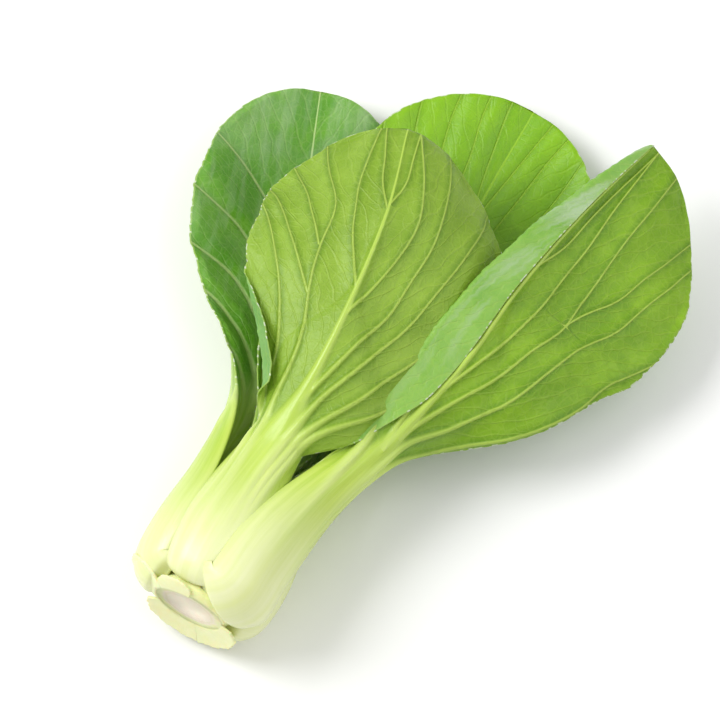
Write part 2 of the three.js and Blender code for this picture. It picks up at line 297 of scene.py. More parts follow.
def leaf_mesh(name, turn, rise_y, bulge, thick, stalk, neck, neck_at, sheath, settle, rib, face, minus, plus,
              veins, rows, columns, ruffle, seed, fold=None):
    """Shapes one leaf from a flat grid: across it the two faces in turn, and along it the midrib.

    turn is the foot's angle from straight up, rise_y how far along the stem it grows, and bulge how
    far out from its axis. Then the midrib runs through the points of rib, and thick is the stalk's
    thickness. face is the direction that the blade's inner side looks in.
    stalk and neck are half widths, sheath the foot's width as a share of the stalk's, and neck_at
    and settle the shares of the length at which the blade starts and at which it faces as given.
    minus and plus are the two halves of the blade: how wide, how cupped, where it is widest, how
    early it widens, how much it tapers, and where the rounded tip starts. fold turns one margin over:
    hem is the extra width, turn the angle, and from, grown, fading and to shares of the length.
    """
    sheet = bmesh.new()
    wide = 2 * (2 * columns + 1)
    bmesh.ops.create_grid(sheet, x_segments=wide, y_segments=rows, size=1)
    mesh = bpy.data.meshes.new(name)
    sheet.to_mesh(mesh)
    sheet.free()
    flat = np.empty(len(mesh.vertices) * 3, np.float32)
    mesh.vertices.foreach_get("co", flat)
    flat = flat.reshape(-1, 3)
    column = np.rint((flat[:, 0] + 1) / 2 * wide).astype(int) % wide
    row = np.rint((flat[:, 1] + 1) / 2 * rows).astype(int)

    t = np.linspace(0, 1, rows + 1)
    v = t - 0.35 * np.sin(2 * math.pi * t) / (2 * math.pi)
    root = [around(turn, 2.4 + rise_y, min(11.5, bulge * 0.72)), around(turn, 7.5 + rise_y, bulge * 0.94),
            around(turn, 24 + rise_y, bulge)]
    centre, along, length = midrib(root + rib, v)
    s = (v - neck_at) * length
    a = math.radians(turn)
    inwards = np.array([-math.sin(a), 0, -math.cos(a)])
    blade_face = np.array(face) / np.linalg.norm(face)
    guide = mix(inwards, blade_face, rise(0.2, settle, v)[:, None])
    normal = guide - (guide * along).sum(1, keepdims=True) * along
    normal /= np.linalg.norm(normal, axis=1, keepdims=True)
    across = np.cross(normal, along)

    steps = 2 * columns
    sides = {}
    for side, form in ((-1, minus), (1, plus)):
        foot = mix(sheath, 1, rise(0, 0.12, v)) * stalk
        narrow = mix(foot, neck, rise(0.1, neck_at, v))
        flare = mix(narrow, form["half"], rise(neck_at - 0.03, form["wide_at"], v) ** form["early"])
        flare = flare * (1 - form["taper"] * rise(0.55, 0.95, v))
        past = np.maximum(0, (v - form["tip_at"]) / (1 - form["tip_at"]))
        half = flare * np.sqrt(np.maximum(0, 1 - past**2.1))
        teeth = np.sin(s * 1.9 + seed) + 0.8 * np.sin(s * 1.17 + 2 * seed + side)
        waver = np.sin(s / 4.1 + seed) + 0.7 * np.sin(s / 6.3 + 2 * seed + side)
        uneven = (0.13 * teeth + 0.18 * waver) * rise(2, 14, s) * rise(1, 8, half)
        half = np.maximum(TIP_HALF_WIDTH, half + uneven)
        line = half
        back = 0 * v
        if fold and fold["side"] == side:
            low, high = fold["from"], fold["to"]
            back = rise(low, low + 0.1, v) * (1 - rise(high - 0.08, high, v))
            hem = fold["hem"] * rise(low, fold["grown"], v) * (1 - rise(fold["fading"], high - 0.02, v))
            half = half * (1 + hem)
        step = half / steps
        wrap = mix(FOOT_WRAP, NECK_WRAP, rise(0.1, neck_at, v))
        total = mix(wrap, form["cup"], rise(neck_at - 0.04, neck_at + 0.2, v))
        whole = np.arange(2 * steps + 1) / (2 * steps)
        angle = total[:, None] * whole
        if back.any():
            distance = half[:, None] * whole
            bent = rise(line[:, None] - FOLD_SPAN / 2, line[:, None] + FOLD_SPAN / 2, distance)
            angle = angle - fold["turn"] * back[:, None] * bent
        angle = np.radians(angle)
        middle, edge = angle[:, 1::2], angle[:, ::2]
        start = np.zeros((rows + 1, 1))
        x = np.concatenate([start, np.cumsum(np.cos(middle), 1)], 1) * step[:, None]
        y = np.concatenate([start, np.cumsum(np.sin(middle), 1)], 1) * step[:, None]
        sides[side] = (half, x[:, ::2], y[:, ::2], edge[:, ::2], line, back)

    x = np.concatenate([-sides[-1][1][:, :0:-1], sides[1][1]], 1)
    y = np.concatenate([sides[-1][2][:, :0:-1], sides[1][2]], 1)
    turned_in = np.concatenate([-sides[-1][3][:, :0:-1], sides[1][3]], 1)
    part = np.arange(-columns, columns + 1) / columns
    half = np.where(part[None, :] < 0, sides[-1][0][:, None], sides[1][0][:, None])
    flat_half = np.where(part[None, :] < 0, sides[-1][4][:, None], sides[1][4][:, None])
    calm = 1 - 0.85 * np.where(part[None, :] < 0, sides[-1][5][:, None], sides[1][5][:, None])
    q = part[None, :] * half
    S = np.broadcast_to(s[:, None], q.shape)
    V = np.broadcast_to(v[:, None], q.shape)
    surface = centre[:, None] + across[:, None] * x[..., None] + normal[:, None] * y[..., None]
    out = across[:, None] * np.sin(turned_in)[..., None] - normal[:, None] * np.cos(turned_in)[..., None]

    fleshy = mix(flat_half, 2.0, rise(neck_at, neck_at + 0.3, V))
    middle = mix(thick, 1.1, rise(0.12, 0.94, V) ** 0.8)
    share = np.minimum(1, np.abs(q) / fleshy)
    body = MARGIN_THICKNESS + (middle - MARGIN_THICKNESS) * (1 - share**2) ** 0.8
    body = body * rise(0, 0.02, V) * rise(0, 0.006, 1 - V)

    stray = np.sin(S / 8.3 + seed + q / 21) + 0.7 * np.sin(S / 4.7 + q / 9 + 2 * seed)
    stray = stray * 0.35 * rise(1, 14, np.abs(q)) * rise(-10, 10, S)
    count_minus, away_minus = among_veins(veins[0], S, -q + stray)
    count_plus, away_plus = among_veins(veins[1], S, q + stray)
    near = np.where((q < 0)[..., None], count_minus, count_plus)
    off = np.abs(np.where((q < 0)[..., None], away_minus, away_plus)).min(-1)
    bladed = rise(-10, 12, S)
    reach = np.maximum(S, 0) + np.abs(q)
    rib_half = 0.9 + neck * 0.5 * np.exp(-np.maximum(S + 4, 0) / 16)
    ridge = (0.25 + 1.2 * np.exp(-np.maximum(S, 0) / 55)) * np.clip(1 - (q / rib_half) ** 2, 0, 1)
    vein_half = 0.55 + 1.0 * np.exp(-reach / 38)
    tall = 0.85 * np.exp(-reach / 55) + 0.22
    ribs = tall * np.exp(-((off / vein_half) ** 2)) * rise(-50, -4, S)
    puff = 0.9 * np.clip(near[..., 1] / 14, 0, 1.3) * (0.5 - 0.5 * np.cos(2 * math.pi * near[..., 0]))
    u = q / flat_half
    streaks = (0.02 + 0.08 * rise(0.12, 0.36, V)) * (np.sin(13 * u + seed) + 0.6 * np.sin(22 * u + 2 * seed))
    relief = np.maximum(ribs, bladed * ridge) + (1 - bladed) * streaks
    relief = relief * rise(0, 0.02, 1 - V) * np.minimum(1, body)
    rim = np.abs(part)[None, :] ** 5 * rise(4, 24, S)
    wave = rim * ruffle * (np.sin(S / 3.3 + seed + 2 * np.sign(q)) + 0.6 * np.sin(S / 1.9 + 3 * seed)) * 0.5
    sway = bladed * (np.sin(S / 13 + q / 17 + seed) + np.sin(q / 9 - S / 23 + 2 * seed))
    puffed = puff * bladed * rise(0, 3, half - np.abs(q))
    shift = wave + calm * (sway * np.minimum(1, np.abs(q) / 12) - puffed)
    outer = surface + out * (shift + body * 0.7 + relief)[..., None]
    inner = surface + out * (shift - body * 0.3 + relief * 0.35 * bladed)[..., None]

    def wrapped(first, second):
        """The two faces side by side in the order of the grid's columns."""
        return np.concatenate([first, second[:, ::-1]], 1)[row, column]

    place_mm = wrapped(outer, inner) / 1000 + np.array(CUT) - [0, 0, AXIS_HEIGHT]
    mesh.vertices.foreach_set("co", place_mm.astype(np.float32).ravel())
    zero = np.zeros_like(q)
    held = {
        "along": [np.stack([S, q, V], -1)] * 2,
        "among_minus": [count_minus] * 2,
        "among_plus": [count_plus] * 2,
        "outer_veins_minus": [away_minus[..., :3]] * 2,
        "inner_veins_minus": [away_minus[..., 3:]] * 2,
        "outer_veins_plus": [away_plus[..., :3]] * 2,
        "inner_veins_plus": [away_plus[..., 3:]] * 2,
        "edge": [np.stack([half - np.abs(q), zero, u], -1), np.stack([half - np.abs(q), zero + 1, u], -1)],
    }
    for label, (first, second) in held.items():
        layer = mesh.attributes.new(label, "FLOAT_VECTOR", "POINT")
        layer.data.foreach_set("vector", wrapped(first, second).astype(np.float32).ravel())
    sheet = bmesh.new()
    sheet.from_mesh(mesh)
    bmesh.ops.remove_doubles(sheet, verts=sheet.verts[:], dist=2e-6)
    bmesh.ops.dissolve_degenerate(sheet, dist=1e-6, edges=sheet.edges[:])
    bmesh.ops.recalc_face_normals(sheet, faces=sheet.faces[:])
    sheet.to_mesh(mesh)
    sheet.free()
    return mesh


def leaf_finish(name, back, front, vein, neck, reach, seed, glow=0.22, bloom_and_sheen=0.35, top=0.0, streaks=0.25):
    """Leaf skin: pale streaked stalk, and a green blade with ribs, side veins, branches and a fine net.

    back and front are two greens for each face, neck is the neck's half width, reach how far the side
    veins stay wide, glow the share of light let through, the bloom and streak strengths how much pale
    bluish paint lies on the inner face, partly as a waxy bloom and partly as painted sheen, and top how
    far past the neck the stalk's colour ends.
    """
    leaf = Finish(name)
    s, q, v = leaf.held("along")
    margin, inner, u = leaf.held("edge")
    many_minus, gap_minus, past_minus = leaf.held("among_minus")
    many_plus, gap_plus, past_plus = leaf.held("among_plus")
    nearest = {}
    for side in ("minus", "plus"):
        away = [*leaf.held("outer_veins_" + side), *leaf.held("inner_veins_" + side)]
        nearest[side] = leaf.sum("ABSOLUTE", away[0])
        for one in away[1:]:
            nearest[side] = leaf.sum("MINIMUM", nearest[side], leaf.sum("ABSOLUTE", one))
    plus = leaf.sum("GREATER_THAN", q, 0.0)

    def pick(on_minus, on_plus):
        return leaf.sum("ADD", leaf.sum("MULTIPLY", leaf.sum("SUBTRACT", 1.0, plus), on_minus),
                        leaf.sum("MULTIPLY", plus, on_plus))

    many = pick(many_minus, many_plus)
    gap = pick(gap_minus, gap_plus)
    past = pick(past_minus, past_plus)
    q_out = leaf.sum("ABSOLUTE", q)
    on_leaf = leaf.point(s, q, seed)
    wander = leaf.sum("SUBTRACT", leaf.noise(on_leaf, 0.16, 3.0), 0.5)
    drift = leaf.sum("SUBTRACT", leaf.noise(leaf.point(q, s, seed + 7), 0.09, 1.0), 0.5)

    # Side veins, wide where they leave the midrib and hair-thin at the margin.
    off = pick(nearest["minus"], nearest["plus"])
    distance = leaf.sum("ADD", leaf.sum("MAXIMUM", s, 0.0), q_out)
    narrowing = leaf.fading(distance, 30.0 * reach)
    vein_half = leaf.sum("ADD", 0.3, leaf.sum("MULTIPLY", narrowing, 1.3))
    side_vein = leaf.ramp(leaf.sum("DIVIDE", off, vein_half), 0.35, 1.5, 1, 0)
    # The band along each side vein where shade is painted.
    vein_shade = leaf.ramp(leaf.sum("DIVIDE", off, leaf.sum("ADD", vein_half, 1.6)), 0.3, 1.3, 1, 0)
    tongue = leaf.ramp(leaf.sum("DIVIDE", off, vein_half), 0.5, 1.8, 1, 0)

    # Branches slant outwards from each side vein, then a net of ever finer veins fills the gaps.
    spacing = 11.0
    slant = leaf.sum("SUBTRACT", s, leaf.sum("MULTIPLY", past, 1.8))
    slant = leaf.sum("ADD", slant, leaf.sum("MULTIPLY", leaf.sum("FLOOR", leaf.sum("ADD", many, 0.001)), 4.3))
    slant = leaf.sum("DIVIDE", leaf.sum("ADD", slant, leaf.sum("MULTIPLY", drift, 12.0)), spacing)
    branch_off = leaf.sum("ABSOLUTE", leaf.sum("SUBTRACT", leaf.sum("FRACT", slant), 0.5))
    branch_off = leaf.sum("MULTIPLY", branch_off, spacing * 0.486)
    branch = leaf.ramp(branch_off, 0.1, 0.5, 1, 0)
    branch = leaf.sum("MULTIPLY", branch, leaf.ramp(gap, 3.0, 8.0))
    warped = leaf.point(leaf.sum("ADD", s, leaf.sum("MULTIPLY", wander, 3.0)),
                        leaf.sum("ADD", q, leaf.sum("MULTIPLY", drift, 3.0)), seed)
    net = leaf.ramp(leaf.cells(warped, 0.3), 0.02, 0.12, 1, 0)
    fine_net = leaf.ramp(leaf.cells(warped, 0.9), 0.02, 0.16, 1, 0)

    # The midrib, and the stalk below the neck of the blade.
    spread = leaf.fading(leaf.sum("MAXIMUM", leaf.sum("ADD", s, 4.0), 0.0), 13.0)
    rib_half = leaf.sum("ADD", leaf.sum("MULTIPLY", spread, neck * 0.5), leaf.ramp(v, 0.45, 1.0, 1.15, 0.25))
    rib = leaf.ramp(leaf.sum("DIVIDE", q_out, rib_half), 0.5, 1.3, 1, 0)
    stalk_end = leaf.sum("SUBTRACT", leaf.sum("ADD", s, leaf.sum("MULTIPLY", q_out, 0.8)),
                         leaf.sum("MULTIPLY", tongue, 12.0))
    stalk = leaf.ramp(stalk_end, top - 16.0, top + 8.0, 1, 0)

    # The greens of the blade, with painted shade darkening them beside the side veins, and pale dots along
    # its margin.
    patch = leaf.noise(on_leaf, 0.055, 4.0, 0.6)
    mottle = leaf.noise(on_leaf, 0.5, 4.0, 0.6)
    low, high = (paint(*c) for c in back)
    under = leaf.blend(leaf.ramp(patch, 0.3, 0.7), low, high)
    low, high = (paint(*c) for c in front)
    over = leaf.blend(leaf.ramp(patch, 0.3, 0.7), low, high)
    green = leaf.blend(inner, under, over)
    mottled = leaf.blend(1.0, green, paint(214, 226, 150), "MULTIPLY")
    green = leaf.blend(leaf.sum("MULTIPLY", mottle, 0.3), green, mottled)
    vein_paint = paint(*vein)
    tint = leaf.blend(0.5, green, vein_paint)
    # Painted shade: the green is darkened beside each side vein, more on the outer face than on the inner.
    painted_shade_green = leaf.blend(1.0, green, paint(196, 212, 150), "MULTIPLY")
    vein_shade_share = leaf.sum("MULTIPLY", vein_shade, leaf.sum("SUBTRACT", 0.75, leaf.sum("MULTIPLY", inner, 0.5)))
    blade = leaf.blend(vein_shade_share, green, painted_shade_green)
    blade = leaf.blend(leaf.sum("MULTIPLY", fine_net, 0.1), blade, tint)
    blade = leaf.blend(leaf.sum("MULTIPLY", net, 0.2), blade, tint)
    blade = leaf.blend(leaf.sum("MULTIPLY", branch, 0.32), blade, tint)
    blade = leaf.blend(leaf.sum("MULTIPLY", side_vein, 0.85), blade, vein_paint)
    dots = leaf.ramp(leaf.noise(leaf.point(s, 0.0, seed), 0.7, 0.0), 0.56, 0.64)
    hem = leaf.ramp(margin, 0.1, 0.6, 1, 0)
    blade = leaf.blend(leaf.sum("MULTIPLY", hem, 0.5), blade, paint(176, 204, 98))
    dotted = leaf.sum("MULTIPLY", hem, leaf.sum("MULTIPLY", dots, 0.8))
    blade = leaf.blend(dotted, blade, paint(240, 244, 226))

    # Fine lengthways streaks of green and white in the stalk.
    long_way = leaf.point(leaf.sum("MULTIPLY", s, 0.014), leaf.sum("MULTIPLY", u, 5.0), seed)
    streak = leaf.noise(long_way, 1.0, 4.0, 0.6)
    fine_way = leaf.point(leaf.sum("MULTIPLY", s, 0.03), leaf.sum("MULTIPLY", u, 26.0), seed)
    fine = leaf.noise(fine_way, 1.0, 3.0, 0.6)
    foot = leaf.ramp(v, 0.03, 0.3)
    pale = leaf.blend(foot, paint(245, 248, 198), paint(208, 228, 104))
    deep = leaf.blend(foot, paint(236, 242, 172), paint(176, 208, 60))
    flesh = leaf.blend(leaf.ramp(streak, 0.25, 0.75), pale, deep)
    fibre = leaf.sum("MULTIPLY", leaf.ramp(fine, 0.45, 0.75), leaf.ramp(v, 0.1, 0.3, 0.05, 0.18))
    flesh = leaf.blend(fibre, flesh, leaf.blend(foot, paint(244, 247, 214), paint(222, 236, 150)))
    ribbed = leaf.sum("MULTIPLY", side_vein, leaf.ramp(s, -55.0, -8.0, 0, 0.45))
    flesh = leaf.blend(ribbed, flesh, paint(232, 240, 172))
    flesh = leaf.blend(leaf.ramp(s, -22.0, 16.0), flesh, vein_paint)
    shown = leaf.blend(leaf.sum("MULTIPLY", rib, 0.92), blade, flesh)
    shown = leaf.blend(stalk, shown, flesh)

    # Pale bluish paint on the inner face, partly a waxy bloom and partly painted sheen: soft patches and
    # lengthways streaks of painted highlight, stronger towards the tip.
    patchy = leaf.ramp(leaf.noise(on_leaf, 0.06, 3.0), 0.35, 0.65, 0.04, 0.2)
    grain = leaf.point(leaf.sum("MULTIPLY", s, 0.04), leaf.sum("MULTIPLY", q, 0.3), seed)
    # Lengthways streaks of painted highlight.
    streaked_sheen = leaf.ramp(leaf.noise(grain, 1.0, 4.0), 0.45, 0.7)
    bloom_and_sheen_share = leaf.sum("MULTIPLY", leaf.sum("ADD", patchy, leaf.sum("MULTIPLY", streaked_sheen, streaks)), inner)
    bloom_and_sheen_share = leaf.sum("MULTIPLY", leaf.sum("MULTIPLY", bloom_and_sheen_share, bloom_and_sheen), leaf.sum("SUBTRACT", 1.0, stalk))
    bloom_and_sheen_share = leaf.sum("MULTIPLY", bloom_and_sheen_share, leaf.ramp(v, 0.42, 0.85, 0.25, 1.3))
    # Painted sheen: the pale bluish paint laid over the inner face together with the waxy bloom.
    shown = leaf.blend(bloom_and_sheen_share, shown, paint(190, 214, 172))
    leaf.links.new(shown, leaf.skin.inputs["Base Color"])

    # Smooth moist flesh, a rougher blade embossed with its veins, and light through both.
    fleshy = leaf.sum("MAXIMUM", stalk, rib)
    leaf.links.new(leaf.ramp(fleshy, 0.0, 1.0, 0.42, 0.27), leaf.skin.inputs["Roughness"])
    leaf.skin.inputs["Subsurface Weight"].default_value = 0.12
    leaf.skin.inputs["Subsurface Radius"].default_value = (1.0, 1.0, 0.3)
    leaf.skin.inputs["Subsurface Scale"].default_value = 0.002
    height = leaf.sum("ADD", leaf.sum("MULTIPLY", net, 0.2), leaf.sum("MULTIPLY", fine_net, 0.08))
    height = leaf.sum("ADD", height, leaf.sum("MULTIPLY", branch, 0.4))
    height = leaf.sum("ADD", height, side_vein)
    height = leaf.sum("MULTIPLY", height, leaf.sum("SUBTRACT", 1.0, fleshy))
    height = leaf.sum("MULTIPLY", height, leaf.sum("SUBTRACT", 1.0, leaf.sum("MULTIPLY", inner, 1.7)))
    height = leaf.sum("ADD", height, leaf.sum("MULTIPLY", leaf.sum("MULTIPLY", fine, fleshy), 0.25))
    leaf.bump(height, 0.0004, 0.8)
    through = leaf.nodes.new("ShaderNodeBsdfTranslucent")
    leaf.links.new(leaf.blend(0.5, shown, paint(176, 214, 30)), through.inputs["Color"])
    join = leaf.nodes.new("ShaderNodeMixShader")
    leaf.feed(join.inputs[0], leaf.ramp(fleshy, 0.0, 1.0, glow, 0.14))
    leaf.links.new(leaf.skin.outputs[0], join.inputs[1])
    leaf.links.new(through.outputs[0], join.inputs[2])
    leaf.links.new(join.outputs[0], leaf.nodes["Material Output"].inputs["Surface"])
    return leaf.material


BACK_GREENS = ((144, 186, 52), (168, 206, 76))
FRONT_GREENS = ((116, 182, 36), (146, 204, 56))
PALE_VEIN = (178, 208, 92)
SMALL_VEINS = [
    [(-60, 4), (-8, 3.5), (4, 8), (20, 16)],
    [(-60, 2), (-8, 1.8), (8, 6), (26, 13), (46, 17)],
    [(6, 0), (20, 5), (38, 9), (60, 11)],
    [(26, 0), (40, 4), (56, 6)],
    [(44, 0), (58, 3), (76, 4)],
]
heart_skin = leaf_finish("heart_leaf_skin", back=BACK_GREENS, front=((122, 172, 34), (150, 194, 52)),
                         vein=PALE_VEIN, neck=5, reach=0.6, seed=1.3)
heart_half = {"half": 11, "cup": 34, "wide_at": 0.7, "early": 1, "taper": 0, "tip_at": 0.7}
heart = leaf_mesh("heart", turn=28, rise_y=9, bulge=5.2, thick=3.2, stalk=8, neck=5, neck_at=0.4,
                  sheath=0.75, settle=0.62,
                  rib=[[2.5, 44, 31], [3, 60, 33], [3.5, 80, 35], [3.5, 98, 36], [3, 112, 36]],
                  face=[0, 0, -1], minus=heart_half, plus=heart_half, veins=(SMALL_VEINS, SMALL_VEINS),
                  rows=110, columns=26, ruffle=0.6, seed=1.3)
place("heart", heart, heart_skin, "heart_leaf")


# The three inner leaves: half grown, narrow and cupped, still packed between the big stalks.
# They are paler at the foot and a deeper green in the blade, where they crowd each other.
inner_skin = leaf_finish("inner_leaf_skin", back=BACK_GREENS, front=FRONT_GREENS, vein=PALE_VEIN, neck=7,
                         reach=0.7, seed=2.1, glow=0.3)
inner_lower_half = {"half": 13, "cup": 30, "wide_at": 0.7, "early": 1, "taper": 0, "tip_at": 0.7}
inner_lower = leaf_mesh("inner_lower", turn=165.5, rise_y=6, bulge=10.6, thick=4.2, stalk=11.5, neck=6,
                        neck_at=0.4, sheath=0.75, settle=0.62,
                        rib=[[2, 46, 17.5], [2, 66, 19], [2, 90, 23], [2, 110, 25.5], [2, 128, 26.5]],
                        face=[0, 0, 1], minus=inner_lower_half, plus=inner_lower_half,
                        veins=(SMALL_VEINS, SMALL_VEINS), rows=120, columns=28, ruffle=0.7, seed=2.1)
place("inner_lower", inner_lower, inner_skin, "inner_lower_leaf")
inner_left_half = {"half": 18, "cup": 26, "wide_at": 0.7, "early": 1, "taper": 0, "tip_at": 0.7}
inner_left = leaf_mesh("inner_left", turn=-57, rise_y=6, bulge=11.4, thick=4.2, stalk=13, neck=6.5,
                       neck_at=0.4, sheath=0.75, settle=0.62,
                       rib=[[-8, 48, 31], [-8, 68, 32], [-9, 94, 33], [-11, 118, 33], [-14, 140, 32]],
                       face=[0.45, 0, 0.9], minus=inner_left_half, plus=inner_left_half,
                       veins=(SMALL_VEINS, SMALL_VEINS), rows=130, columns=34, ruffle=0.8, seed=3.4)
place("inner_left", inner_left, inner_skin, "inner_left_leaf")
inner_right_half = {"half": 20, "cup": 26, "wide_at": 0.7, "early": 1, "taper": 0, "tip_at": 0.7}
inner_right = leaf_mesh("inner_right", turn=80.5, rise_y=6, bulge=11.6, thick=4.2, stalk=14, neck=7,
                        neck_at=0.4, sheath=0.75, settle=0.62,
                        rib=[[11, 50, 27], [15, 72, 27], [20, 98, 27], [24, 124, 27], [29, 148, 26]],
                        face=[-0.5, 0, 0.87], minus=inner_right_half, plus=inner_right_half,
                        veins=(SMALL_VEINS, SMALL_VEINS), rows=140, columns=36, ruffle=0.9, seed=4.2)
place("inner_right", inner_right, inner_skin, "inner_right_leaf")


# The lower left leaf: underneath, with its back to the surface between the two broad lower leaves.
# It is older than the inner leaves and has their greens, and it is narrower than its two neighbours.
lower_left_half = {"half": 23, "cup": 22, "wide_at": 0.74, "early": 1, "taper": 0, "tip_at": 0.7}
lower_left = leaf_mesh("lower_left", turn=-142, rise_y=3, bulge=17.6, thick=6.2, stalk=17.5, neck=8,
                       neck_at=0.42, sheath=0.75, settle=0.64,
                       rib=[[-9, 50, 14], [-9, 75, 14], [-9, 105, 17], [-10, 135, 19], [-13, 163, 19]],
                       face=[0.1, 0, 1], minus=lower_left_half, plus=lower_left_half,
                       veins=(SMALL_VEINS, SMALL_VEINS), rows=150, columns=40, ruffle=0.8, seed=5.1)
place("lower_left", lower_left, inner_skin, "lower_left_leaf")


# The upper leaf: in front of the middle, its back to the camera and its left margin curled over.
# Its stalk is flattened between its neighbours and flares into a broad hooded blade.
UPPER_LEFT_VEINS = [
    [(-90, 8), (-40, 7.5), (-12, 8.5), (6.5, 14.5), (29, 19.5), (49, 28), (60, 35)],
    [(44, 14.3), (57, 24), (66, 31), (76, 38)],
    [(62, 17.5), (70, 22.5), (77, 27), (88, 32)],
    [(-90, 4), (-40, 4), (-12, 5), (9, 8.5), (30, 10.4), (48, 15.3), (64, 17.5), (82, 19), (98, 24)],
    [(52, 0), (62, 5), (73, 9.8), (84, 11.4), (101, 11), (115, 9)],
    [(82, 0), (92, 4), (104, 5.5)],
]
UPPER_RIGHT_VEINS = [
    [(-90, 8), (-40, 7.4), (-12, 7.6), (-1, 9), (11, 18), (18, 25), (26, 33)],
    [(-90, 5.5), (-40, 5), (-14, 5.6), (0, 7), (12.5, 13), (24, 19.5), (36, 27), (50, 36), (60, 42)],
    [(-90, 3), (-40, 2.8), (-10, 3.2), (4, 4), (13.6, 6), (36, 15.6), (53, 24), (69, 28), (88, 34)],
    [(8, 0), (17, 2.5), (35, 8), (51, 14.5), (69, 17.8), (92, 18.6), (110, 17)],
    [(42, 0), (55, 5), (68, 9.4), (82, 11), (94, 9.5), (110, 6)],
    [(84, 0), (94, 3.5), (104, 4)],
]
upper_skin = leaf_finish("upper_leaf_skin", back=((136, 174, 42), (158, 194, 62)),
                         front=((96, 160, 60), (128, 186, 92)), vein=(188, 216, 92), neck=10.5,
                         reach=1.2, seed=6.0)
upper = leaf_mesh("upper", turn=-9, rise_y=3, bulge=18.6, thick=6.2, stalk=18.5, neck=10.5, neck_at=0.36,
                  sheath=0.8, settle=0.6,
                  rib=[[-1.5, 50, 43.5], [1, 77, 47], [0, 110, 54], [-5, 148, 56], [-15, 181, 48]],
                  face=[0.02, 0.05, -1],
                  minus={"half": 45, "cup": 28, "wide_at": 0.7, "early": 0.9, "taper": 0, "tip_at": 0.8},
                  plus={"half": 50, "cup": 56, "wide_at": 0.68, "early": 0.5, "taper": 0, "tip_at": 0.68},
                  veins=(UPPER_LEFT_VEINS, UPPER_RIGHT_VEINS),
                  fold={"side": -1, "hem": 0.42, "turn": 160, "from": 0.32, "grown": 0.42, "fading": 0.42,
                        "to": 0.66},
                  rows=230, columns=84, ruffle=0.7, seed=6.0)
place("upper", upper, upper_skin, "upper_leaf")


# The lower right leaf: outermost on its side, lying flat with its bright inner face up.
# Its blade is yellower than the others, with hardly any waxy bloom or painted sheen.
STEEP_VEINS = [
    [(-50, 5), (-14, 5), (10, 10), (40, 22), (70, 32)],
    [(-50, 2), (-10, 2), (20, 8), (50, 17), (90, 28)],
    [(20, 0), (50, 9), (90, 19), (120, 24)],
    [(50, 0), (80, 7), (120, 14)],
    [(84, 0), (110, 5), (130, 8)],
]
lower_right_skin = leaf_finish("lower_right_leaf_skin", back=BACK_GREENS,
                               front=((132, 190, 0), (152, 208, 4)), vein=(164, 210, 52), neck=9.5,
                               reach=1.0, seed=7.7, bloom_and_sheen=0.05)
lower_right = leaf_mesh("lower_right", turn=134, rise_y=0, bulge=22.6, thick=7.2, stalk=20, neck=9.5,
                        neck_at=0.42, sheath=0.9, settle=0.64,
                        rib=[[14, 52, 13], [19, 82, 8], [17, 135, 6], [13, 180, 7], [13, 220, 10]],
                        face=[0, 0, 1],
                        minus={"half": 42, "cup": 12, "wide_at": 0.78, "early": 1, "taper": 0, "tip_at": 0.8},
                        plus={"half": 46, "cup": 14, "wide_at": 0.8, "early": 1, "taper": 0, "tip_at": 0.8},
                        veins=(STEEP_VEINS, STEEP_VEINS), rows=220, columns=64, ruffle=0.9, seed=7.7)
place("lower_right", lower_right, lower_right_skin, "lower_right_leaf")


# The left leaf: outermost on the left, turned over so that its dark waxy inner face is up, with a pale bluish
# sheen painted on it.
# Its veins arch out to the margin, and its blade leans away from the rest of the head.
ARCHED_VEINS = [
    [(-50, 5), (-14, 5), (-5, 9), (2, 16), (7, 24), (10, 34)],
    [(-50, 2), (-10, 2), (5, 8), (12, 15), (18, 24), (23, 36)],
    [(8, 0), (17, 7), (25, 15), (31, 24), (36, 37)],
    [(24, 0), (33, 8), (40, 15), (46, 24), (50, 37)],
    [(41, 0), (50, 7), (58, 14), (65, 23), (70, 35)],
    [(60, 0), (70, 7), (79, 14), (87, 23), (92, 30)],
]
left_skin = leaf_finish("left_leaf_skin", back=BACK_GREENS, front=((84, 158, 0), (116, 184, 12)),
                        vein=(196, 224, 140), neck=9, reach=1.6, seed=8.4, bloom_and_sheen=0.95, top=10.0,
                        streaks=0.2)
left = leaf_mesh("left", turn=-89.5, rise_y=0, bulge=21.2, thick=7.2, stalk=18.5, neck=9, neck_at=0.4,
                 sheath=0.9, settle=0.56,
                 rib=[[-19, 50, 26], [-20.5, 78, 19], [-29, 115, 12], [-40, 152, 9], [-55, 191, 10]],
                 face=[0.22, 0, 0.97],
                 minus={"half": 36, "cup": 6, "wide_at": 0.74, "early": 1, "taper": 0, "tip_at": 0.8},
                 plus={"half": 41, "cup": 22, "wide_at": 0.76, "early": 0.75, "taper": 0, "tip_at": 0.76},
                 veins=(ARCHED_VEINS, ARCHED_VEINS), rows=220, columns=64, ruffle=0.9, seed=8.4)
place("left", left, left_skin, "left_leaf")


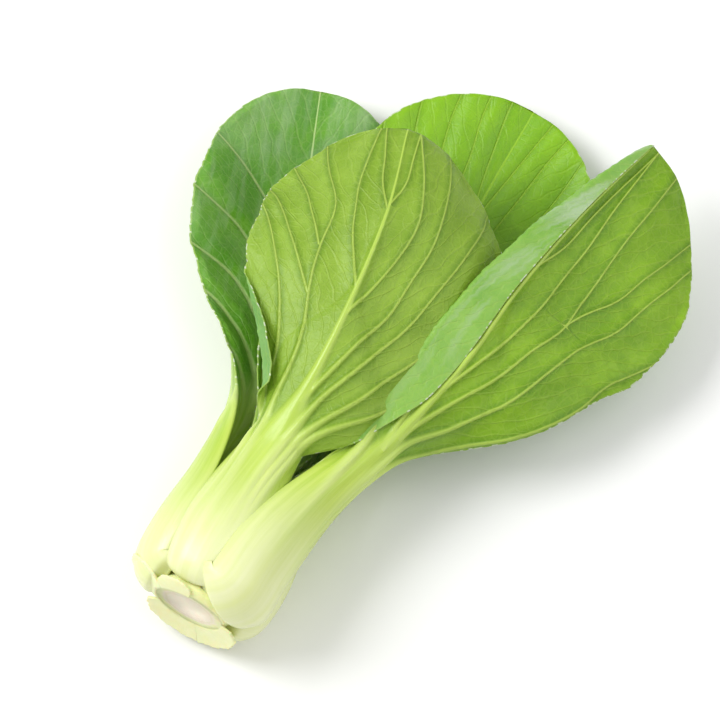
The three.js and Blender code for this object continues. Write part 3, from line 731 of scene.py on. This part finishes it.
# The right leaf: the outermost in view. Its back faces up, and one margin is folded right over
# from the neck to the tip, so that a strip of the bluish inner face shows along the fold, with painted
# streaks of sheen.
RIGHT_FOLDED_VEINS = [
    [(-90, 5), (-40, 4.8), (-6, 5.5), (10, 8), (30, 10), (60, 11), (90, 8), (120, 2)],
    [(0, 0), (25, 5), (60, 7), (100, 4), (120, 1)],
]
RIGHT_OPEN_VEINS = [
    [(-90, 6.5), (-40, 5.4), (-8, 5), (0.5, 6.5), (15, 15.6), (33, 28), (51, 40.4), (67, 46), (80, 50)],
    [(-90, 3), (-40, 2.6), (-8, 2.6), (8, 4), (26, 13.4), (47, 22), (72, 30), (84, 35), (99, 37)],
    [(75, 21), (86, 25), (97, 28.8), (112, 31)],
    [(6, 0), (14, 1.6), (28, 5.6), (42, 10.8), (58, 15.9), (77, 21.5), (87, 21), (103, 18.4), (120, 16.6)],
    [(30, 0), (45, 3.7), (60, 8), (77, 10.4), (95, 10), (110, 8)],
    [(84, 0), (96, 3), (112, 3)],
]
right_skin = leaf_finish("right_leaf_skin", back=((120, 166, 8), (146, 190, 26)),
                         front=((124, 186, 52), (152, 204, 84)), vein=(190, 218, 92), neck=8.5,
                         reach=1.3, seed=9.5, bloom_and_sheen=0.65, streaks=0.8)
right = leaf_mesh("right", turn=54, rise_y=0, bulge=23.2, thick=7.2, stalk=17.5, neck=8.5, neck_at=0.36,
                  sheath=1.12, settle=0.58,
                  rib=[[22.2, 51, 36], [31, 80, 36], [41, 116, 40], [45, 150, 43], [51, 187, 39],
                       [58.5, 222, 31]],
                  face=[-0.27, 0.05, -0.96],
                  minus={"half": 16, "cup": 5, "wide_at": 0.56, "early": 0.55, "taper": 0.6, "tip_at": 0.8},
                  plus={"half": 53, "cup": 16, "wide_at": 0.72, "early": 0.85, "taper": 0, "tip_at": 0.77},
                  veins=(RIGHT_FOLDED_VEINS, RIGHT_OPEN_VEINS),
                  fold={"side": -1, "hem": 0.95, "turn": 180, "from": 0.26, "grown": 0.48, "fading": 1.2,
                        "to": 1.4},
                  rows=220, columns=96, ruffle=0.7, seed=9.5)
place("right", right, right_skin, "right_leaf")


# The trimmed bases: stubs of outer leaves that were pulled off before sale.
# They are pale, dry at the torn edge, and hug the foot of the head round the cut.
base_skin = Finish("trimmed_base_skin")
where = base_skin.nodes.new("ShaderNodeTexCoord").outputs["Object"]
torn = base_skin.blend(base_skin.noise(where, 300, 4.0, 0.6), paint(248, 247, 204), paint(238, 241, 166))
base_skin.links.new(torn, base_skin.skin.inputs["Base Color"])
base_skin.skin.inputs["Roughness"].default_value = 0.6
base_skin.skin.inputs["Subsurface Weight"].default_value = 0.3
base_skin.skin.inputs["Subsurface Scale"].default_value = 0.002
base_skin.bump(base_skin.noise(where, 900, 5.0, 0.7), 0.0006, 0.7)


def trimmed_base(name, turn, span, reach, flare, widest, thinning):
    """A torn flange: a flat grid wrapped round the foot of the head.

    turn and span say where it is round the stem. reach and flare are how far it goes up the head,
    or past the cut if it is negative, and out. It is widest at one turn and thins out from there.
    """
    flange = bmesh.new()
    bmesh.ops.create_grid(flange, x_segments=70, y_segments=14, size=1)
    for v in flange.verts:
        across, along = v.co.x / 2, (v.co.y + 1) / 2
        at = turn + span * across
        tooth = 0.035 * math.sin(0.31 * at) + 0.025 * math.sin(0.83 * at + 2)
        ragged = math.sqrt(1 - 0.88 * ((at - widest) / thinning) ** 2) + tooth * along
        y = 0.2 + reach * along * ragged
        radius = 12.5 + (flare + 1.7) * math.sin(along * ragged * 1.1)
        x, y, z = around(at, y, radius)
        v.co = Vector((x, y, z)) / 1000 + CUT - Vector((0, 0, AXIS_HEIGHT))
    bmesh.ops.recalc_face_normals(flange, faces=flange.faces[:])
    bmesh.ops.solidify(flange, geom=flange.faces[:], thickness=-0.0009)
    bmesh.ops.recalc_face_normals(flange, faces=flange.faces[:])
    mesh = bpy.data.meshes.new(name)
    flange.to_mesh(mesh)
    flange.free()
    return mesh


BASES = {
    "left": {"turn": -86, "span": 62, "reach": 6.5, "flare": 12.4, "widest": -86, "thinning": 31},
    "upper": {"turn": -25, "span": 54, "reach": 1.8, "flare": 5, "widest": -25, "thinning": 27},
    "under_left": {"turn": -153.5, "span": 77, "reach": -2.2, "flare": 8.8, "widest": -192, "thinning": 78},
    "under_right": {"turn": 129, "span": 77.5, "reach": -2.2, "flare": 8.8, "widest": 168, "thinning": 78},
}
for side, sizes in BASES.items():
    flange = trimmed_base("base_" + side, **sizes)
    place("base_" + side, flange, base_skin.material, "trimmed_base_" + side)


# The surface: a plain pale table top that the head lies on.
table = bmesh.new()
bmesh.ops.create_grid(table, x_segments=1, y_segments=1, size=3)
table_mesh = bpy.data.meshes.new("table")
table.to_mesh(table_mesh)
table.free()
table_top = bpy.data.objects.new("table", table_mesh)
bpy.context.scene.collection.objects.link(table_top)
table_paint = Finish("table_paint")
table_paint.skin.inputs["Base Color"].default_value = (0.93, 0.93, 0.92, 1)
table_paint.skin.inputs["Roughness"].default_value = 0.9
table_mesh.materials.append(table_paint.material)

# Soft studio light: a broad lamp overhead to the left, a weaker one to the right, and a white room.
# Each lamp is its name, its place from the aim in metres, its size in metres and its watts.
AIM = CUT + Vector((-0.01, 0.1, 0))
LAMPS = (("key", (-0.75, -0.2, 0.9), 0.7, 11.5), ("fill", (0.7, 0.3, 0.9), 1.0, 4.0))
for label, place_at, size, power in LAMPS:
    lamp = bpy.data.lights.new(label, "AREA")
    lamp.size = size
    lamp.energy = power
    holder = bpy.data.objects.new(label, lamp)
    holder.location = AIM + Vector(place_at)
    holder.rotation_euler = (-Vector(place_at)).to_track_quat("-Z", "Y").to_euler()
    bpy.context.scene.collection.objects.link(holder)
world = bpy.data.worlds.new("room")
world.use_nodes = True
world.node_tree.nodes["Background"].inputs[0].default_value = (1, 1, 1, 1)
world.node_tree.nodes["Background"].inputs[1].default_value = 0.58
bpy.context.scene.world = world
bpy.context.scene.view_settings.view_transform = "Standard"

# The camera looks down on the head from the cut's side, with a long lens.
AZIMUTH = math.radians(29)
ELEVATION = math.radians(70)
PICTURE_SIDE = 720
MM_PER_PIXEL = 0.34
CUT_PIXEL = (189, 608)
rightwards = Vector((math.cos(AZIMUTH), math.sin(AZIMUTH), 0))
upwards = Vector((-math.sin(AZIMUTH) * math.sin(ELEVATION), math.cos(AZIMUTH) * math.sin(ELEVATION),
                  math.cos(ELEVATION)))
backwards = rightwards.cross(upwards)
target = CUT + rightwards * (PICTURE_SIDE / 2 - CUT_PIXEL[0]) * MM_PER_PIXEL / 1000
target += upwards * (CUT_PIXEL[1] - PICTURE_SIDE / 2) * MM_PER_PIXEL / 1000
lens = bpy.data.cameras.new("camera")
lens.lens = 900
lens.clip_end = 20
camera = bpy.data.objects.new("camera", lens)
camera.location = target + backwards * PICTURE_SIDE * MM_PER_PIXEL / 1000 * lens.lens / lens.sensor_width
camera.rotation_euler = backwards.to_track_quat("Z", "Y").to_euler()
bpy.context.scene.collection.objects.link(camera)
bpy.context.scene.camera = camera
